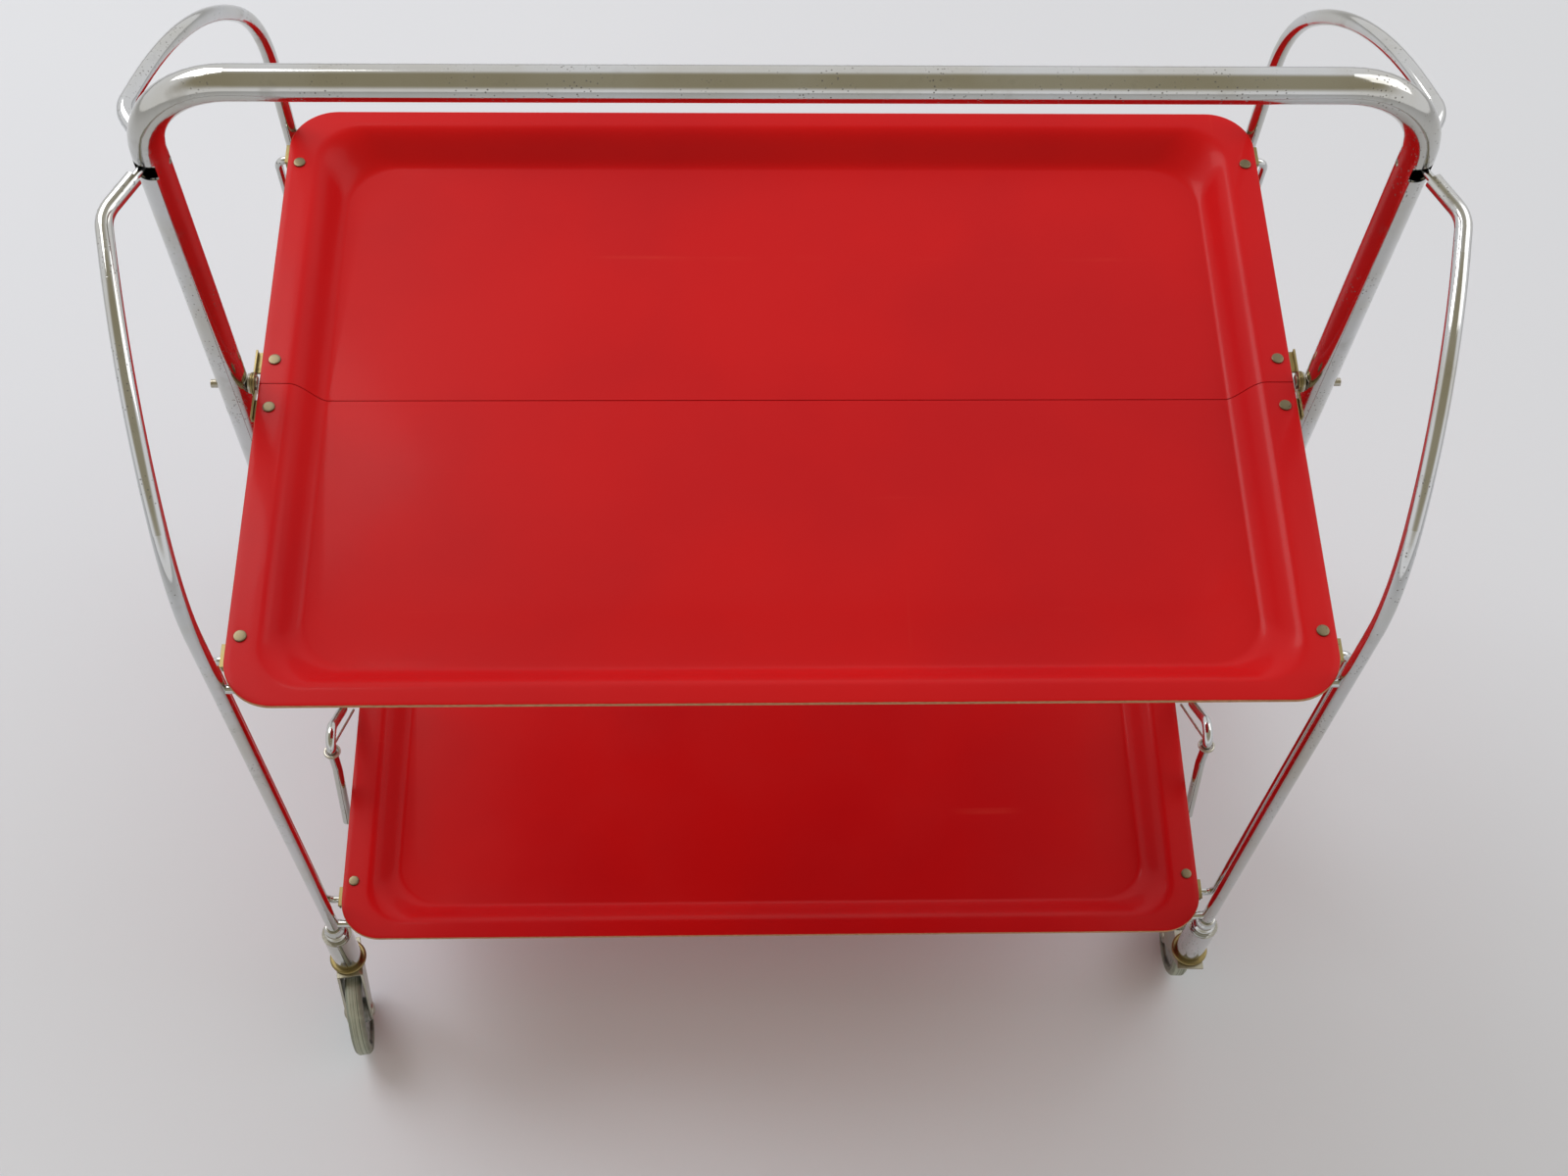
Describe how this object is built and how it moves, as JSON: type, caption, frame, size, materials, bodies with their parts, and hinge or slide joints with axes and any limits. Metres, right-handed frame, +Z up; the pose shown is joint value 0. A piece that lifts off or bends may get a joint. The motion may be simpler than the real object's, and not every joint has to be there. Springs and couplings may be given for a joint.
{
  "type": "folding bar cart",
  "caption": "Folding serving cart with glossy dished trays that fold up about their middle, a chrome tube handle frame, bent chrome legs and swivel casters.",
  "frame": {"origin": "on the floor, below the middle of the cart", "axes": "+Z up, X along the handle bar, -Y towards the front"},
  "size_m": [0.6808, 0.5074, 0.767],
  "materials": {
    "tray_lacquer": "glossy orange-red lacquer on moulded sheet",
    "chrome": "polished chrome plate with slight pitting",
    "yellow_zinc": "yellow passivated zinc plate",
    "rivet_zinc": "zinc plate, worn warm",
    "fork_zinc": "dull zinc plate on stamped steel",
    "pin_steel": "plain steel",
    "wheel_grey": "worn matt grey",
    "cap_plastic": "matt black"
  },
  "bodies": {
    "handle_frame": {"handle_tube": "chrome", "upper_hinge_pins": "pin_steel", "lower_hinge_pins": "pin_steel", "hinge_washers": "pin_steel", "leg_pivot_pins": "pin_steel", "tube_end_caps": "cap_plastic", "stay_rods": "chrome", "stay_hooks": "pin_steel"},
    "upper_front_half": {"upper_front_tray_half": "tray_lacquer", "upper_front_rivets": "rivet_zinc", "upper_front_hinge_brackets": "yellow_zinc", "upper_front_link_brackets": "yellow_zinc"},
    "upper_rear_half": {"upper_rear_tray_half": "tray_lacquer", "upper_rear_rivets": "rivet_zinc", "upper_rear_hinge_brackets": "yellow_zinc", "upper_rear_link_brackets": "yellow_zinc"},
    "lower_front_half": {"lower_front_tray_half": "tray_lacquer", "lower_front_rivets": "rivet_zinc", "lower_front_hinge_brackets": "yellow_zinc", "lower_front_link_brackets": "yellow_zinc"},
    "lower_rear_half": {"lower_rear_tray_half": "tray_lacquer", "lower_rear_rivets": "rivet_zinc", "lower_rear_hinge_brackets": "yellow_zinc", "lower_rear_link_brackets": "yellow_zinc"},
    "front_left_link": {"front_left_link_rod": "chrome"},
    "front_left_leg": {"front_left_leg": "chrome", "front_left_leg_pegs": "chrome", "front_left_caster_collar": "chrome", "front_left_caster_barrel": "chrome"},
    "front_left_caster": {"front_left_caster_fork": "fork_zinc", "front_left_caster_washer": "yellow_zinc", "front_left_caster_axle": "fork_zinc"},
    "front_left_wheel": {"front_left_caster_wheel": "wheel_grey"},
    "front_right_link": {"front_right_link_rod": "chrome"},
    "front_right_leg": {"front_right_leg": "chrome", "front_right_leg_pegs": "chrome", "front_right_caster_collar": "chrome", "front_right_caster_barrel": "chrome"},
    "front_right_caster": {"front_right_caster_fork": "fork_zinc", "front_right_caster_washer": "yellow_zinc", "front_right_caster_axle": "fork_zinc"},
    "front_right_wheel": {"front_right_caster_wheel": "wheel_grey"},
    "rear_left_link": {"rear_left_link_rod": "chrome"},
    "rear_left_leg": {"rear_left_leg": "chrome", "rear_left_leg_pegs": "chrome", "rear_left_caster_collar": "chrome", "rear_left_caster_barrel": "chrome"},
    "rear_left_caster": {"rear_left_caster_fork": "fork_zinc", "rear_left_caster_washer": "yellow_zinc", "rear_left_caster_axle": "fork_zinc"},
    "rear_left_wheel": {"rear_left_caster_wheel": "wheel_grey"},
    "rear_right_link": {"rear_right_link_rod": "chrome"},
    "rear_right_leg": {"rear_right_leg": "chrome", "rear_right_leg_pegs": "chrome", "rear_right_caster_collar": "chrome", "rear_right_caster_barrel": "chrome"},
    "rear_right_caster": {"rear_right_caster_fork": "fork_zinc", "rear_right_caster_washer": "yellow_zinc", "rear_right_caster_axle": "fork_zinc"},
    "rear_right_wheel": {"rear_right_caster_wheel": "wheel_grey"}
  },
  "joints": [
    {"name": "front_fold", "type": "hinge", "parent": "handle_frame", "child": "upper_front_half", "pos_m": [0, 0, 0.51], "axis": [-1, 0, 0], "range_deg": [0, 80]},
    {"name": "front_lower_fold", "type": "hinge", "parent": "handle_frame", "child": "lower_front_half", "pos_m": [0, 0, 0.147], "axis": [-1, 0, 0], "range_deg": [0, 80]},
    {"name": "front_left_link_pivot", "type": "hinge", "parent": "upper_front_half", "child": "front_left_link", "pos_m": [-0.3045, -0.176, 0.501], "axis": [1, 0, 0], "range_deg": [0, 80]},
    {"name": "front_left_leg_swing", "type": "hinge", "parent": "handle_frame", "child": "front_left_leg", "pos_m": [-0.317, 0, 0.703], "axis": [1, 0, 0], "range_deg": [0, 7.5]},
    {"name": "front_left_caster_swivel", "type": "hinge", "parent": "front_left_leg", "child": "front_left_caster", "pos_m": [-0.3045, -0.195, 0.085], "axis": [0, 0, 1], "continuous": true},
    {"name": "front_left_wheel_roll", "type": "hinge", "parent": "front_left_caster", "child": "front_left_wheel", "pos_m": [-0.30028, -0.22167, 0.032], "axis": [0.9877, 0.1564, 0], "continuous": true},
    {"name": "front_right_link_pivot", "type": "hinge", "parent": "upper_front_half", "child": "front_right_link", "pos_m": [0.3045, -0.176, 0.501], "axis": [1, 0, 0], "range_deg": [0, 80]},
    {"name": "front_right_leg_swing", "type": "hinge", "parent": "handle_frame", "child": "front_right_leg", "pos_m": [0.317, 0, 0.703], "axis": [1, 0, 0], "range_deg": [0, 7.5]},
    {"name": "front_right_caster_swivel", "type": "hinge", "parent": "front_right_leg", "child": "front_right_caster", "pos_m": [0.3045, -0.195, 0.085], "axis": [0, 0, 1], "continuous": true},
    {"name": "front_right_wheel_roll", "type": "hinge", "parent": "front_right_caster", "child": "front_right_wheel", "pos_m": [0.30497, -0.168, 0.032], "axis": [-0.9998, 0.0175, 0], "continuous": true},
    {"name": "rear_fold", "type": "hinge", "parent": "handle_frame", "child": "upper_rear_half", "pos_m": [0, 0, 0.51], "axis": [1, 0, 0], "range_deg": [0, 80]},
    {"name": "rear_lower_fold", "type": "hinge", "parent": "handle_frame", "child": "lower_rear_half", "pos_m": [0, 0, 0.147], "axis": [1, 0, 0], "range_deg": [0, 80]},
    {"name": "rear_left_link_pivot", "type": "hinge", "parent": "upper_rear_half", "child": "rear_left_link", "pos_m": [-0.3045, 0.176, 0.501], "axis": [-1, 0, 0], "range_deg": [0, 80]},
    {"name": "rear_left_leg_swing", "type": "hinge", "parent": "handle_frame", "child": "rear_left_leg", "pos_m": [-0.317, 0, 0.703], "axis": [-1, 0, 0], "range_deg": [0, 7.5]},
    {"name": "rear_left_caster_swivel", "type": "hinge", "parent": "rear_left_leg", "child": "rear_left_caster", "pos_m": [-0.3045, 0.195, 0.085], "axis": [0, 0, 1], "continuous": true},
    {"name": "rear_left_wheel_roll", "type": "hinge", "parent": "rear_left_caster", "child": "rear_left_wheel", "pos_m": [-0.29889, 0.22141, 0.032], "axis": [-0.9781, 0.2079, 0], "continuous": true},
    {"name": "rear_right_link_pivot", "type": "hinge", "parent": "upper_rear_half", "child": "rear_right_link", "pos_m": [0.3045, 0.176, 0.501], "axis": [-1, 0, 0], "range_deg": [0, 80]},
    {"name": "rear_right_leg_swing", "type": "hinge", "parent": "handle_frame", "child": "rear_right_leg", "pos_m": [0.317, 0, 0.703], "axis": [-1, 0, 0], "range_deg": [0, 7.5]},
    {"name": "rear_right_caster_swivel", "type": "hinge", "parent": "rear_right_leg", "child": "rear_right_caster", "pos_m": [0.3045, 0.195, 0.085], "axis": [0, 0, 1], "continuous": true},
    {"name": "rear_right_wheel_roll", "type": "hinge", "parent": "rear_right_caster", "child": "rear_right_wheel", "pos_m": [0.28901, 0.21712, 0.032], "axis": [-0.8192, -0.5736, 0], "continuous": true}
  ],
  "couplings": [
    {"joint": "front_lower_fold", "follows": "front_fold", "ratio": 1},
    {"joint": "front_left_link_pivot", "follows": "front_fold", "ratio": 1},
    {"joint": "front_left_leg_swing", "follows": "front_fold", "ratio": 0.09375},
    {"joint": "front_right_link_pivot", "follows": "front_fold", "ratio": 1},
    {"joint": "front_right_leg_swing", "follows": "front_fold", "ratio": 0.09375},
    {"joint": "rear_lower_fold", "follows": "rear_fold", "ratio": 1},
    {"joint": "rear_left_link_pivot", "follows": "rear_fold", "ratio": 1},
    {"joint": "rear_left_leg_swing", "follows": "rear_fold", "ratio": 0.09375},
    {"joint": "rear_right_link_pivot", "follows": "rear_fold", "ratio": 1},
    {"joint": "rear_right_leg_swing", "follows": "rear_fold", "ratio": 0.09375}
  ]
}
